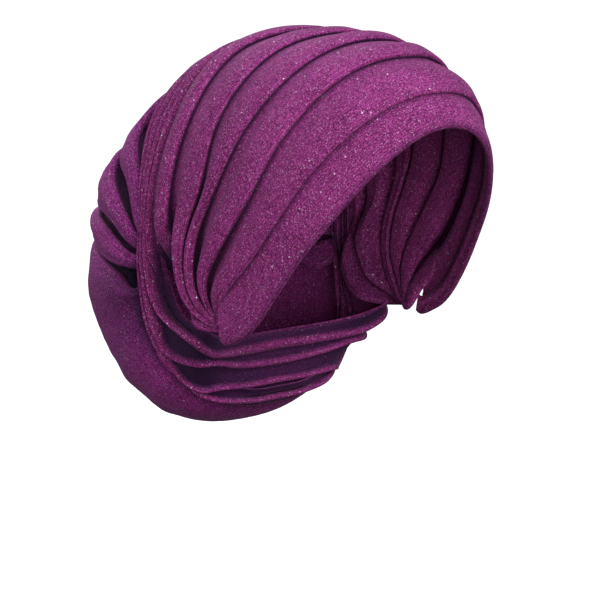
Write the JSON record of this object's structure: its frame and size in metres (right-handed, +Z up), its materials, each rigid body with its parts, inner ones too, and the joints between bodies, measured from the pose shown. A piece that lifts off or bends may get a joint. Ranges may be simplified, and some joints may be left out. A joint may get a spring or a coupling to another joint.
{
  "type": "pleated head tie",
  "caption": "Pre-tied head tie in glitter knit: smooth front band with ear tabs, pleats fanning over the crown, gathered strands round the nape and a slouchy bag behind.",
  "frame": {"origin": "head_seat: midway between the wearer's ears, inside the head tie, where a head holds it", "axes": "+Z up toward the crown, -Y toward the wearer's face, +X toward the wearer's left"},
  "size_m": [0.171, 0.2852, 0.2487],
  "materials": {
    "band_cloth": "plum glitter knit, fine ribs along the band, turned hem",
    "crown_cloth": "plum glitter knit, fine ribs along the pleats",
    "bundle_cloth": "plum glitter knit gathered into narrow strands",
    "bag_cloth": "dark plum glitter knit, slack"
  },
  "bodies": {
    "root": {"front_band": "band_cloth", "pleated_crown": "crown_cloth", "gathered_bundle": "bundle_cloth", "slouch_bag": "bag_cloth"}
  },
  "joints": []
}
